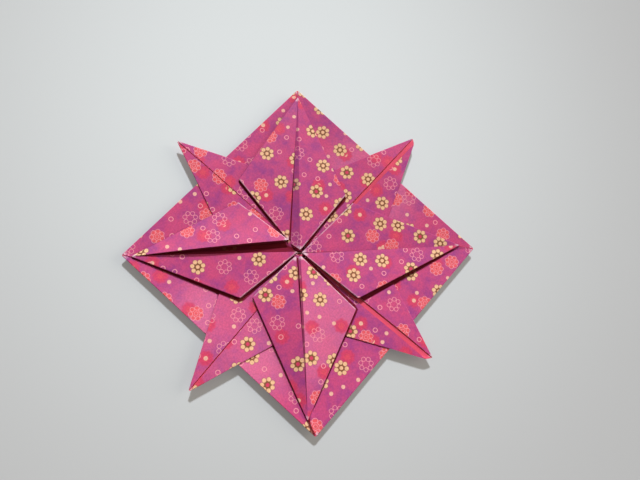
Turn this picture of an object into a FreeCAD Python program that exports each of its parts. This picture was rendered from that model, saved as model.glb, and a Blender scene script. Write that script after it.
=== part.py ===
"""Origami compass rose: one square sheet of paper, folded flat into a four-petal star.

The sheet is blintzed into a diamond, and its four corner flaps are petal-folded.
That leaves three tiers on show: the diamond, four short points between its
corners, and four long petals that meet in the middle. It is one piece of paper
throughout, so it is one solid: thin facets, joined along the folds by narrow
walls, with the true gaps between the layers.

The folded form repeats in eight wedges. A wedge is drawn between the north
axis (x = 0) and the north-east diagonal (y = x), and is then mirrored and
turned into its place. +Z is up and the diamond's corners lie on X and Y.
"""

import FreeCAD, Part
import math
import os
from collections import namedtuple

# Driving dimensions, in millimetres.
SHEET_SIDE = 150.0  # side of the flat square sheet
PAPER = 0.10  # thickness of the paper
LAYER_GAP = 0.06  # air left between two layers that lie on each other
SEAM_GAP = 0.10  # width of the slit between two folded edges that meet
POINT_SLIT = 0.25  # width of the slit along the middle of a short point
RIM_LIFT = 1.3  # how far the star's rim curls up from the surface it lies on

# A hand-folded star is never quite true. Each half petal has these of its own,
# in the petal's frame: +Y from the middle to the tip, the right half at +X.
# shoulder: drift of its widest point from the crease pattern's place
# inner: where its edge against the next petal ends, at the middle
# foot: where its edge along the petal's slit ends, at the middle
# spring: how far its inner end stands up
# lift: how far its shoulder stands up
Half = namedtuple("Half", "shoulder inner foot spring lift")
# tip: drift of the petal's tip from the diamond's corner
Petal = namedtuple("Petal", "name tip left right")

PETALS = (
    Petal(
        "north",
        (0.0, -2.0),
        Half((-3.1, 6.0), (-4.1, 3.4), (-4.1, 3.4), 0.30, 0.25),
        Half((-1.8, 1.8), (-1.4, 1.3), (-3.8, 3.6), 0.10, 0.15),
    ),
    Petal(
        "east",
        (-0.9, -3.7),
        Half((0.3, -0.1), (0.2, 0.0), (0.2, 0.0), 0.10, 0.15),
        Half((-0.8, -0.5), (0.4, 0.0), (0.4, 0.0), 0.05, 0.60),
    ),
    Petal(
        "south",
        (1.7, -3.6),
        Half((1.4, 2.5), (1.8, 1.3), (1.8, 1.3), 0.15, 0.10),
        Half((0.1, -1.1), (2.1, 1.4), (2.1, 1.4), 0.10, 0.20),
    ),
    Petal(
        "west",
        (-0.4, -2.1),
        Half((1.8, 3.6), (-0.3, 2.4), (-0.3, 2.4), 0.05, 0.50),
        Half((0.1, 3.5), (2.6, 4.2), (2.6, 4.2), 0.65, 0.10),
    ),
)
# Drift of each short point's tip, in the star's own frame, clockwise from the north-east.
POINT_DRIFT = ((-0.4, -0.5), (-1.1, 3.6), (2.4, -1.1), (-0.1, -2.0))

# The rim's curl: the share of the lift that is reached at a share of the way out.
CURL = ((0.30, 0.0), (0.80, 0.80), (1.00, 1.00))

# Sizes that follow.
PITCH = PAPER + LAYER_GAP  # from one layer to the next, up or sideways
HALF_WIDTH = SHEET_SIDE / (2.0 + math.sqrt(2.0))  # middle of the star to a diamond corner
SEAM = SEAM_GAP / 2.0


def plan(x, y):
    """A plan point, given as a share of the star's half width."""
    return (x * HALF_WIDTH, y * HALF_WIDTH)


# Plan points of a wedge. All follow from creases at 22.5 degrees.
MIDDLE = plan(0.0, 0.0)
SIDE_MIDDLE = plan(0.5, 0.5)  # middle of the diamond's side
CORNER = plan(0.0, 1.0)  # the diamond's corner, where the petal's creases meet
SHOULDER = plan(1.0 - math.sqrt(0.5), 1.0 - math.sqrt(0.5))  # widest point of the petal
ARMPIT = plan(0.0, math.sqrt(2.0) - 1.0)  # root of the short point, under the petal
POINT_TIP = plan(math.sqrt(0.5), math.sqrt(0.5))  # tip of the short point
HEM = plan(0.0, 1.0 - math.sqrt(0.5))  # middle of the raw edge tucked in the petal


def moved(point, shift):
    """A plan point, moved."""
    return (point[0] + shift[0], point[1] + shift[1])


def side_line(start, end, inset=0.0):
    """The line from start to end, moved to its left by an inset."""
    run_x = end[0] - start[0]
    run_y = end[1] - start[1]
    length = math.hypot(run_x, run_y)
    shift = (-run_y / length * inset, run_x / length * inset)
    return (moved(start, shift), moved(end, shift))


def distance_inside(line, point):
    """How far a point lies to the left of a line."""
    (x1, y1), (x2, y2) = line
    length = math.hypot(x2 - x1, y2 - y1)
    return ((x2 - x1) * (point[1] - y1) - (y2 - y1) * (point[0] - x1)) / length


def crossing(line, first, last):
    """Where the line cuts the segment from first to last."""
    d1 = distance_inside(line, first)
    d2 = distance_inside(line, last)
    share = d1 / (d1 - d2)
    return (first[0] + (last[0] - first[0]) * share, first[1] + (last[1] - first[1]) * share)


def keep_inside(polygon, line):
    """The part of a convex polygon that lies to the left of a line."""
    kept = []
    for i, point in enumerate(polygon):
        following = polygon[(i + 1) % len(polygon)]
        inside = distance_inside(line, point) >= 0.0
        if inside:
            kept.append(point)
        if inside != (distance_inside(line, following) >= 0.0):
            kept.append(crossing(line, point, following))
    return kept


def strip_along(polygon, line):
    """The strip of a polygon within one paper thickness of one of its sides."""
    first, last = side_line(line[0], line[1], PAPER)
    return keep_inside(polygon, (last, first))


def without_repeats(polygon):
    """A polygon without corners that lie on the one before."""
    kept = []
    for i, point in enumerate(polygon):
        before = polygon[i - 1]
        if math.hypot(point[0] - before[0], point[1] - before[1]) > 1e-6:
            kept.append(point)
    return kept


def area_of(polygon):
    """A polygon's area."""
    twice = 0.0
    for i, (x, y) in enumerate(polygon):
        before = polygon[i - 1]
        twice += before[0] * y - x * before[1]
    return twice / 2.0


def plane_through(corners, heights):
    """The slanted plane a + b x + c y that has these heights at three plan points."""
    (x1, y1), (x2, y2), (x3, y3) = corners
    z1, z2, z3 = heights
    area = (x2 - x1) * (y3 - y1) - (x3 - x1) * (y2 - y1)
    slope_x = ((z2 - z1) * (y3 - y1) - (z3 - z1) * (y2 - y1)) / area
    slope_y = ((x2 - x1) * (z3 - z1) - (x3 - x1) * (z2 - z1)) / area
    return (z1 - slope_x * x1 - slope_y * y1, slope_x, slope_y)


def plane_sum(first, second):
    """Two planes' heights added up."""
    return tuple(a + b for a, b in zip(first, second))


def height_at(plane, point):
    """The height of a plane over a plan point."""
    return plane[0] + plane[1] * point[0] + plane[2] * point[1]


class Facet:
    """One facet of the folded sheet: its outline in plan and its underside."""

    def __init__(self, corners, lines, underside):
        self.lines = lines
        self.outline = without_repeats(list(corners))
        for line in lines.values():
            self.outline = keep_inside(self.outline, line)
        self.underside = underside


def curl_zones():
    """Zones of the plan over which the rim's curl is one plane: side lines and plane."""
    up_axis = (MIDDLE, CORNER)
    down_axis = (CORNER, MIDDLE)
    zones = []
    for side, axis_line in ((1.0, down_axis), (-1.0, up_axis)):
        outer_lines = []
        for reach, _ in CURL:
            ends = (plan(side * reach, 0.0), plan(0.0, reach))
            outer_lines.append(ends if side > 0 else ends[::-1])
        zones.append(((axis_line, outer_lines[0]), (0.0, 0.0, 0.0)))
        for k in range(1, len(CURL)):
            (start, low), (end, high) = CURL[k - 1], CURL[k]
            slope = (high - low) * RIM_LIFT / (end - start) / HALF_WIDTH
            plane = (low * RIM_LIFT - slope * start * HALF_WIDTH, slope * side, slope)
            zones.append(((axis_line, outer_lines[k - 1][::-1], outer_lines[k]), plane))
        zones.append(((axis_line, outer_lines[-1][::-1]), (RIM_LIFT, 0.0, 0.0)))
    return zones


def upright_prism(outline, lower, upper):
    """A closed prism with upright sides between two slanted planes."""
    base = [FreeCAD.Vector(x, y, height_at(lower, (x, y))) for x, y in outline]
    top = [FreeCAD.Vector(x, y, height_at(upper, (x, y)) + PAPER) for x, y in outline]
    loops = [list(reversed(base)), top]
    for i in range(len(outline)):
        j = (i + 1) % len(outline)
        loops.append([base[i], base[j], top[j], top[i]])
    faces = [Part.Face(Part.makePolygon(loop + [loop[0]])) for loop in loops]
    return Part.makeSolid(Part.makeShell(faces))


def curled_prisms(outline, lower, upper):
    """The prisms between two planes, bent up with the rim's curl zone by zone."""
    prisms = []
    for lines, curl in curl_zones():
        piece = outline
        for line in lines:
            piece = keep_inside(piece, line)
        piece = without_repeats(piece)
        if len(piece) > 2 and area_of(piece) > 1e-4:
            prisms.append(upright_prism(piece, plane_sum(lower, curl), plane_sum(upper, curl)))
    return prisms


def petal_plane(axis_end, shoulder, tip, lift):
    """The underside of a half petal's lowest layer.

    The petal lies on the diamond's two layers at its tip. It has to clear the short
    point's two layers, and the two small gussets on them, from shoulder to armpit.
    """
    at_tip = 2.0 * PITCH
    over_gussets = 6.0 * PITCH
    level = plane_through((ARMPIT, shoulder, tip), (over_gussets, over_gussets, at_tip))
    at_axis_end = height_at(level, axis_end)
    return plane_through((axis_end, shoulder, tip), (at_axis_end, over_gussets + lift, at_tip))


def wedge_facets(half, petal_tip, point_tip):
    """The ten facets of one wedge, lowest first."""
    shoulder = moved(SHOULDER, half.shoulder)
    tip = moved(CORNER, petal_tip)
    inner = half.inner
    if inner[0] > 0.0:
        middle_edge = ((0.0, inner[1]), inner)
    else:
        middle_edge = (crossing((MIDDLE, CORNER), inner, shoulder),)

    def axis(start, rank):
        return side_line(start, MIDDLE, SEAM + rank * PITCH)

    def notch_side(rank):
        return side_line(inner, shoulder, SEAM + rank * PITCH)

    def petal_side(rank):
        return side_line(shoulder, tip, rank * PITCH)

    diamond = (MIDDLE, SIDE_MIDDLE, CORNER)
    point = (MIDDLE, point_tip, ARMPIT)
    gusset = (*middle_edge, shoulder, ARMPIT)
    petal = (*middle_edge, shoulder, tip)
    petal_over = (inner, shoulder, tip, half.foot)
    diamond_side = side_line(SIDE_MIDDLE, CORNER)
    point_side = side_line(point_tip, ARMPIT)
    gusset_side = side_line(shoulder, ARMPIT)
    point_slit = side_line(MIDDLE, point_tip, POINT_SLIT / 2.0)
    petal_axis = side_line(tip, middle_edge[0], SEAM)
    slit = side_line(tip, half.foot, SEAM)

    under = petal_plane(middle_edge[0], shoulder, tip, half.lift)
    spring = plane_through((half.foot, shoulder, tip), (half.spring, 0.0, 0.0))

    def level(count):
        return (count * PITCH, 0.0, 0.0)

    def petal_level(layer):
        return plane_sum(under, level(layer))

    return {
        "base": Facet(diamond, {"outer": diamond_side}, level(0)),
        "flap": Facet(diamond, {"outer": diamond_side, "axis": axis(CORNER, 0)}, level(1)),
        "point_under": Facet(point, {"outer": point_side, "axis": axis(ARMPIT, 1)}, level(2)),
        "point_top": Facet(
            point, {"outer": point_side, "axis": axis(ARMPIT, 2), "raw": point_slit}, level(3)
        ),
        "gusset_under": Facet(
            gusset, {"outer": gusset_side, "axis": axis(ARMPIT, 2), "notch": notch_side(0)}, level(4)
        ),
        "gusset_top": Facet(
            gusset, {"outer": gusset_side, "axis": axis(ARMPIT, 1), "notch": notch_side(1)}, level(5)
        ),
        "petal_under": Facet(
            petal,
            {"outer": petal_side(0), "axis": petal_axis, "notch": notch_side(1)},
            petal_level(0),
        ),
        "hem_layer": Facet(
            (HEM, shoulder, tip),
            {"outer": petal_side(1), "notch": notch_side(1)},
            petal_level(1),
        ),
        "petal_lining": Facet(
            petal_over,
            {"outer": petal_side(1), "axis": slit, "notch": notch_side(1)},
            plane_sum(petal_level(2), spring),
        ),
        "petal_top": Facet(
            petal_over,
            {"outer": petal_side(0), "axis": slit, "notch": notch_side(0)},
            plane_sum(petal_level(3), spring),
        ),
    }


# Every fold: the lower facet, the upper facet, and the facet and side that its wall follows.
FOLDS = (
    ("base", "flap", "flap", "outer"),
    ("flap", "petal_under", "petal_under", "axis"),
    ("petal_under", "petal_top", "petal_top", "outer"),
    ("hem_layer", "petal_lining", "hem_layer", "outer"),
    ("petal_lining", "petal_top", "petal_lining", "axis"),
    ("gusset_top", "petal_under", "gusset_top", "notch"),
    ("gusset_under", "petal_top", "gusset_under", "notch"),
    ("gusset_under", "gusset_top", "gusset_top", "outer"),
    ("point_under", "gusset_top", "gusset_top", "axis"),
    ("point_top", "gusset_under", "gusset_under", "axis"),
    ("point_under", "point_top", "point_under", "outer"),
)


def wedge_solids(half, petal_tip, point_tip):
    """A wedge's facets and fold walls, as prisms that meet face to face or overlap."""
    facets = wedge_facets(half, petal_tip, point_tip)
    solids = []
    for facet in facets.values():
        solids.extend(curled_prisms(facet.outline, facet.underside, facet.underside))
    for lower, upper, followed, side in FOLDS:
        strip = strip_along(facets[followed].outline, facets[followed].lines[side])
        solids.extend(curled_prisms(strip, facets[lower].underside, facets[upper].underside))
    return solids


def mirrored_point(point):
    return (-point[0], point[1])


def mirrored_half(half):
    """A left half petal, as its mirrored frame sees it."""
    return half._replace(
        shoulder=mirrored_point(half.shoulder),
        inner=mirrored_point(half.inner),
        foot=mirrored_point(half.foot),
    )


def point_tip_seen(notch, quarter_turns, mirrored):
    """A short point's tip, as the frame of a wedge beside it sees it."""
    x, y = POINT_TIP
    for _ in range(notch):
        x, y = y, -x
    x, y = moved((x, y), POINT_DRIFT[notch])
    for _ in range(quarter_turns):
        x, y = -y, x
    return (-x, y) if mirrored else (x, y)


def placed(solid, quarter_turns, mirrored):
    """A wedge's solid on its own petal, with the left half mirrored from the right."""
    origin = FreeCAD.Vector(0, 0, 0)
    if mirrored:
        solid = solid.mirror(origin, FreeCAD.Vector(1, 0, 0))
    return solid.rotated(origin, FreeCAD.Vector(0, 0, 1), -90.0 * quarter_turns)


def folded_sheet():
    """The whole folded sheet as one solid."""
    pieces = []
    for turns, petal in enumerate(PETALS):
        left_tip = point_tip_seen((turns - 1) % 4, turns, True)
        right_tip = point_tip_seen(turns, turns, False)
        left_solids = wedge_solids(mirrored_half(petal.left), mirrored_point(petal.tip), left_tip)
        right_solids = wedge_solids(petal.right, petal.tip, right_tip)
        for mirrored, solids in ((True, left_solids), (False, right_solids)):
            pieces.extend(placed(solid, turns, mirrored) for solid in solids)
    sheet = pieces[0].multiFuse(pieces[1:]).removeSplitter()
    return sheet.Solids[0] if len(sheet.Solids) == 1 else sheet


def main():
    os.makedirs("parts", exist_ok=True)
    sheet = folded_sheet()
    sheet.exportStep(os.path.join("parts", "folded_sheet.step"))
    box = sheet.BoundBox
    print("solids %d, faces %d, valid %s" % (len(sheet.Solids), len(sheet.Faces), sheet.isValid()))
    print("size %.2f x %.2f x %.2f mm" % (box.XLength, box.YLength, box.ZLength))
    print("volume %.1f mm3, flat %.1f mm3" % (sheet.Volume, SHEET_SIDE * SHEET_SIDE * PAPER))


main()
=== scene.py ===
"""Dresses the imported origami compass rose: one printed paper square, folded flat.

The folded sheet is built from its crease pattern. Every facet of the flat square
is placed by its own fold, layer over layer, and round bends join the facets.
A Geometry Nodes tree then gives the paper its cockle, its thickness and its two
sides. The print lives in the flat square's own coordinates, so it breaks at
every fold as printed paper does.
"""

import math
from collections import namedtuple

import bpy
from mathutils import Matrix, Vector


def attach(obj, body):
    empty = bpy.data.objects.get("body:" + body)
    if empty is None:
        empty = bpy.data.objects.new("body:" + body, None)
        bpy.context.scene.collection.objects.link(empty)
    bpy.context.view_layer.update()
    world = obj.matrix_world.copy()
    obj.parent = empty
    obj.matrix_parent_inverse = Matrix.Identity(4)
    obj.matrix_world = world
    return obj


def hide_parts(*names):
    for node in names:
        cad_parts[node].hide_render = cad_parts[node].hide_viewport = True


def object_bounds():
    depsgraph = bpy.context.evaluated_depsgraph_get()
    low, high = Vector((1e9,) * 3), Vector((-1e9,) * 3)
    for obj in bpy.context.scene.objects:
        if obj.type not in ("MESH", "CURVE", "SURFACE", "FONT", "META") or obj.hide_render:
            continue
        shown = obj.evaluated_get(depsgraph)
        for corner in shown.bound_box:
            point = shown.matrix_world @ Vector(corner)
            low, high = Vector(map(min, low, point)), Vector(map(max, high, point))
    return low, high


bl_info = {
    "name": "Origami Compass Rose",
    "version": (1, 0, 0),
    "blender": (4, 5, 0),
    "location": "View3D > Sidebar > Compass Rose",
    "description": "Folds a printed paper square into a compass rose and sets a plain stage",
    "category": "Object",
}

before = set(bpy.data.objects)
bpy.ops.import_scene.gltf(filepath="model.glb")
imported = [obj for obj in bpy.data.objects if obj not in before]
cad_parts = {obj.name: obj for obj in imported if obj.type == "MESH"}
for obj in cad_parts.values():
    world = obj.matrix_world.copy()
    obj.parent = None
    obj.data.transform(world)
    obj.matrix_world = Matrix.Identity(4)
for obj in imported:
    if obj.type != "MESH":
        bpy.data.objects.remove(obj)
CAD_LOW, CAD_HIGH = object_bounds()

MM = 0.001
HALF_WIDTH = CAD_HIGH.x / MM  # middle of the star to a diamond corner
SHEET_SIDE = HALF_WIDTH * (2.0 + math.sqrt(2.0))  # side of the flat square
QUARTER = math.radians(90.0)

# --- The folder's hand

# Where each petal and point really ended up, in millimetres. A petal's own frame has its
# axis along +Y and its right half at +X. For half a petal:
# shoulder: drift of the widest point from its ideal place
# inner: where the half petal's inner corner ends
# foot: where the folded edge along the petal's slit ends
# drop: how far the rolled edge dips into the slit at the middle
# spring: how far the inner end stands up
# rise: how far the slit's edge bows up between the inner end and the tip
# lift: how far the shoulder stands up
# shade: how much painted shade the rolled edge gets, 0 to 1
# lee: how far out from its inner edge painted shade reaches onto the paper beside it,
#     at the inner end and at the shoulder
# rim_lee: the same for its outer edge, at the shoulder and at the tip
Half = namedtuple("Half", "shoulder inner foot drop spring rise lift shade lee rim_lee")
THIN = (0.1, 0.1)

# Clockwise, for each petal: the drift of its tip, and its two halves.
Petal = namedtuple("Petal", "tip left right")
PETALS = (
    Petal(  # north
        (0.0, -2.0),
        Half((-3.1, 6.0), (-4.2, 3.0), (-4.0, 3.3),
             0.50, 0.20, 0.75, 0.00, 0.3, (0.3, 0.9), THIN),
        Half((-1.8, 1.8), (-1.4, 0.4), (-3.6, 2.3),
             0.60, 0.30, 0.50, 0.05, 0.3, (0.1, 1.2), THIN),
    ),
    Petal(  # east
        (-0.9, -3.7),
        Half((0.3, -0.1), (0.15, -1.1), (0.1, -0.6),
             0.10, 0.15, -0.12, 0.10, 0.0, THIN, THIN),
        Half((-0.8, -0.5), (0.34, -0.8), (0.5, -0.5),
             0.10, 0.15, -0.12, 0.60, 0.0, (1.1, 2.0), (1.5, 0.5)),
    ),
    Petal(  # south
        (1.7, -3.6),
        Half((1.2, 1.85), (1.33, 0.85), (1.9, 1.3),
             0.30, 0.25, 1.20, 0.05, 0.3, (1.0, 1.0), (0.8, 0.45)),
        Half((0.6, -1.95), (2.68, 1.02), (2.3, 1.15),
             0.50, 0.25, 1.15, 0.15, 0.0, (0.3, 0.3), (0.3, 0.3)),
    ),
    Petal(  # west
        (-0.4, -2.1),
        Half((1.8, 3.6), (0.05, 1.95), (1.1, 4.3),
             -0.05, 0.30, 0.35, 0.05, 0.9, (0.4, 1.2), (1.15, 0.4)),
        Half((0.1, 3.5), (2.9, 4.2), (2.7, 4.3),
             1.30, 1.40, 1.10, 0.00, 0.9, THIN, THIN),
    ),
)

# Clockwise, for each short point: the drift of its tip, and how wide its slit stands open
# towards the petal before it and the petal after it. Each width is given at the middle of
# the star and at the point's tip.
Point = namedtuple("Point", "drift open_before open_after")
POINTS = (
    Point((-0.4, -0.5), (0.10, 0.10), (0.70, 1.20)),  # north-east
    Point((-1.1, 3.6), (0.10, 0.10), (1.00, 1.35)),  # south-east
    Point((2.4, -1.1), (0.06, 0.20), (0.06, 0.15)),  # south-west
    Point((-0.1, -2.0), (0.08, 0.12), (0.08, 0.12)),  # north-west
)


# --- Settings that a user would change


def length_property(name, description, default, lowest=0.0):
    """A length setting, from its default and its lowest value in millimetres."""
    return bpy.props.FloatProperty(
        name=name,
        description=description,
        default=default * MM,
        min=lowest * MM,
        precision=5,
        unit="LENGTH",
    )


def share_property(name, description, default, **limits):
    """A plain number that can't be less than nothing."""
    return bpy.props.FloatProperty(
        name=name, description=description, default=default, min=0.0, **limits
    )


def ink(red, green, blue):
    """A colour for a shader, from the 0 to 255 values of a colour chart."""
    linear = []
    for value in (red, green, blue):
        share = value / 255.0
        linear.append(share / 12.92 if share <= 0.04045 else ((share + 0.055) / 1.055) ** 2.4)
    return tuple(linear)


def colour_property(name, description, *chart_values):
    """A colour setting, from the 0 to 255 values of its default."""
    return bpy.props.FloatVectorProperty(
        name=name,
        description=description,
        default=ink(*chart_values),
        size=3,
        subtype="COLOR",
        min=0.0,
        max=1.0,
    )


class PaperSettings(bpy.types.PropertyGroup):
    thickness: length_property("Thickness", "Thickness of the paper", 0.09, 0.02)
    layer_gap: length_property(
        "Layer gap", "Air left between two layers that lie on each other", 0.02
    )
    rim_lift: length_property(
        "Rim lift", "How far the star's rim curls up from the surface it lies on", 1.3
    )
    cockle_height: length_property(
        "Cockle height", "Height of the slow waves that handling leaves in the paper", 0.35
    )
    cockle_size: length_property("Cockle size", "Length of those waves", 16.0, 1.0)
    divisions: bpy.props.IntProperty(
        name="Divisions",
        description="How many steps each facet's sides are divided into",
        default=20,
        min=2,
        max=24,
    )


class PrintSettings(bpy.types.PropertyGroup):
    ground: colour_property("Ground", "Main colour of the printed side", 213, 76, 130)
    violet: colour_property("Violet", "Cooler colour that the ground drifts to", 160, 60, 138)
    rose: colour_property("Rose", "Warmer colour that the ground drifts to", 226, 76, 122)
    # Painted light: the pale colour that the patches of painted light lay over the ground.
    painted_light: colour_property("Faded", "What light has bleached the ground to", 248, 134, 172)
    cream: colour_property("Cream", "Petals of the daisies", 255, 201, 152)
    olive: colour_property("Olive", "Outline inside the daisies", 132, 84, 30)
    pale: colour_property("Pale pink", "Rings and outlined flowers", 255, 158, 170)
    dot: colour_property("Dots", "Small filled dots", 255, 192, 168)
    salmon: colour_property("Salmon", "Filled rosettes", 252, 94, 92)
    blossom: colour_property("Blossom", "Soft blossoms under the flowers", 228, 62, 100)
    reverse: colour_property("Reverse", "Plain side of the sheet", 234, 78, 106)
    core: colour_property("Core", "Raw cut edge and worn folds", 250, 208, 218)


class StageSettings(bpy.types.PropertyGroup):
    floor: colour_property("Floor", "Colour of the floor", 223, 226, 225)
    # Painted light: this share of the floor's colour glows for the camera alone, so shadows leave
    # it.
    glow: share_property("Glow", "Share of the floor's colour that shadows leave", 0.19, max=1.0)
    window: share_property("Window", "Share of the light that comes from the window", 0.77)
    side: share_property("Side", "Share of the light that comes softly from the side", 0.14)
    sky: share_property("Room", "Share of the light that comes from all round", 0.22)


SETTINGS = {"rose_paper": PaperSettings, "rose_print": PrintSettings, "rose_stage": StageSettings}


# --- Plan geometry, in millimetres


def ideal(x, y):
    """A plan point given as a share of the star's half width."""
    return (x * HALF_WIDTH, y * HALF_WIDTH)


ROOT = math.sqrt(0.5)
MIDDLE = ideal(0.0, 0.0)
SIDE_MIDDLE = ideal(0.5, 0.5)
CORNER = ideal(0.0, 1.0)
SHOULDER = ideal(1.0 - ROOT, 1.0 - ROOT)
ARMPIT = ideal(0.0, 2.0 * ROOT - 1.0)
POINT_TIP = ideal(ROOT, ROOT)
HEM = ideal(0.0, 1.0 - ROOT)

# The same points of the wedge on the flat sheet, where one folded point has several.
FLAT_CORNER = CORNER
FLAT_SIDE = SIDE_MIDDLE
FLAT_FLAP = ideal(1.0, 1.0)  # folds to the middle, on the flap
FLAT_SHOULDER = ideal(ROOT, 2.0 - ROOT)
FLAT_ARMPIT = ideal(1.0, 2.0 * ROOT)
FLAT_EDGE_MIDDLE = ideal(ROOT, 1.0 + ROOT)  # folds to the middle, on the raw edge
FLAT_EDGE_SHOULDER = ideal(1.0 - ROOT, 1.0 + ROOT)
FLAT_HEM = ideal(0.0, 1.0 + ROOT)
FLAT_TIP = ideal(1.0 + ROOT, 1.0 + ROOT)  # the sheet's own corner


def moved(point, shift):
    return (point[0] + shift[0], point[1] + shift[1])


def scaled(vector, factor):
    return (vector[0] * factor, vector[1] * factor)


def offset_of(point, origin):
    return (point[0] - origin[0], point[1] - origin[1])


def dot(first, second):
    return first[0] * second[0] + first[1] * second[1]


def between(first, last, share):
    """The point that lies this share of the way from first to last."""
    return moved(first, scaled(offset_of(last, first), share))


def distance(first, last):
    return math.hypot(*offset_of(last, first))


def towards(first, last, length):
    """The point a given length from first on the way to last."""
    return between(first, last, length / distance(first, last))


def left_normal(start, end):
    """The unit vector that points to the left of the way from start to end."""
    length = distance(start, end)
    return (-(end[1] - start[1]) / length, (end[0] - start[0]) / length)


def inset_corner(before, corner, after, inset_in, inset_out):
    """Where the two sides of a corner meet once each is moved to its left."""
    n1 = left_normal(before, corner)
    n2 = left_normal(corner, after)
    offset1 = dot(n1, corner) + inset_in
    offset2 = dot(n2, corner) + inset_out
    area = n1[0] * n2[1] - n1[1] * n2[0]
    x = (offset1 * n2[1] - offset2 * n1[1]) / area
    y = (n1[0] * offset2 - n2[0] * offset1) / area
    return (x, y)


def inset_triangle(corners, insets):
    """A triangle with each side moved inwards; insets go with sides ab, bc and ca."""
    a, b, c = corners
    ab, bc, ca = insets
    return (
        inset_corner(c, a, b, ca, ab),
        inset_corner(a, b, c, ab, bc),
        inset_corner(b, c, a, bc, ca),
    )


def affine(source, target):
    """The map that takes three plan points to three others."""
    (x1, y1), (x2, y2), (x3, y3) = source
    area = (x2 - x1) * (y3 - y1) - (x3 - x1) * (y2 - y1)
    first_side = offset_of(target[1], target[0])
    second_side = offset_of(target[2], target[0])

    def apply(point):
        s = ((point[0] - x1) * (y3 - y1) - (x3 - x1) * (point[1] - y1)) / area
        t = ((x2 - x1) * (point[1] - y1) - (point[0] - x1) * (y2 - y1)) / area
        return moved(moved(target[0], scaled(first_side, s)), scaled(second_side, t))

    return apply


def clamped(value):
    return min(max(value, 0.0), 1.0)


# --- The folded sheet

SEAM = 0.05  # half the slit between two folded edges that meet
BEND = 0.12  # how far an outer bend bulges past its facets
INNER_BEND = 0.09  # the same for a bend inside the stack
POINT_BEND = 0.10  # the same for the bend between a short point and the gusset over it
BEND_STEPS = 5
NEST = 0.20  # how much further in a fold lies that is wrapped by another
WRAPPED_BEND = BEND + NEST
EDGE_AXIS = SEAM + BEND
NO_FOLD = 99.0  # distance given to a side that isn't a fold

OVER_FLAP = 2.0  # layers under a petal's tip
OVER_GUSSETS = 6.0  # layers under its inner end: with a short point and its two gussets
HEM_END = 1.6  # how far short of the petal's tip its hem ends

# Along its diagonal, a short point's under side and its top begin this far from the
# middle and end this far short of the tip. The top draws back further by TIP_PULL of
# its slit's width, stands up by TOP_LIFT at the tip and bows up by TOP_BOW.
UNDER_START, UNDER_END = 0.7, 0.3
TOP_START, TOP_END = 1.2, 0.4
TIP_PULL = 0.8
TOP_LIFT = 0.08
TOP_BOW = 0.12

# How far the petal's top bows up along its outer edges, and how far its rolled edge
# and lining follow the bow of the slit's edge.
EDGE_BOWS = (0.10, 0.05)
ROLL_SHARE = 0.7

OPEN, INSIDE = 0.0, 1.0  # covers of facets that lie in the open and wholly inside a petal
TUCK_RAMP = 0.3  # length over which paper goes from open to fully tucked, and its painted shade from none to full
POINT_LEE = (0.15, 0.15)  # how far out from a short point's edge its painted shade begins

REST_SHARE = 0.25  # share of the star's half width that stays flat on the surface
CURL_POWER = 1.6  # how late the curl gathers towards the rim

# A facet: its folded corners, their heights, how far its three sides bow up, whether its
# first side gets the pale fold line of wear and painted highlight, its worn points, and its
# cover, which sets its painted shade: a share, or the outlines of what lies over it. An
# outline is a row of edges: start, end, how far out its painted shade reaches at each.
Facet = namedtuple(
    "Facet",
    "corners heights bows side_worn worn_points cover",
    defaults=((0.0, 0.0, 0.0), False, (), INSIDE),
)

# The crease pattern, from the bottom up: the map of each facet's place before any drift to
# its place on the flat sheet, and whether its print is up.
Crease = namedtuple("Crease", "flat print_up")
BASE = (MIDDLE, SIDE_MIDDLE, CORNER)
POINT = (MIDDLE, POINT_TIP, ARMPIT)
GUSSET = (MIDDLE, SHOULDER, ARMPIT)
PETAL = (MIDDLE, SHOULDER, CORNER)
HEMMED = (HEM, SHOULDER, CORNER)
TOP_MAP = affine(PETAL, (FLAT_EDGE_MIDDLE, FLAT_SHOULDER, FLAT_CORNER))
CREASES = {
    "base": Crease(affine(BASE, (MIDDLE, FLAT_SIDE, FLAT_CORNER)), False),
    "flap": Crease(affine(BASE, (FLAT_FLAP, FLAT_SIDE, FLAT_CORNER)), True),
    "point_under": Crease(affine(POINT, (FLAT_FLAP, FLAT_TIP, FLAT_ARMPIT)), False),
    "point_top": Crease(affine(POINT, (FLAT_EDGE_MIDDLE, FLAT_TIP, FLAT_ARMPIT)), True),
    "gusset_under": Crease(affine(GUSSET, (FLAT_EDGE_MIDDLE, FLAT_SHOULDER, FLAT_ARMPIT)), False),
    "gusset_top": Crease(affine(GUSSET, (FLAT_FLAP, FLAT_SHOULDER, FLAT_ARMPIT)), True),
    "petal_under": Crease(affine(PETAL, (FLAT_FLAP, FLAT_SHOULDER, FLAT_CORNER)), False),
    "hem_layer": Crease(affine(HEMMED, (FLAT_HEM, FLAT_EDGE_SHOULDER, FLAT_CORNER)), True),
    "lining": Crease(affine(PETAL, (FLAT_EDGE_MIDDLE, FLAT_EDGE_SHOULDER, FLAT_CORNER)), False),
    "petal_top": Crease(TOP_MAP, True),
    "petal_roll": Crease(TOP_MAP, True),
}

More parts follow.
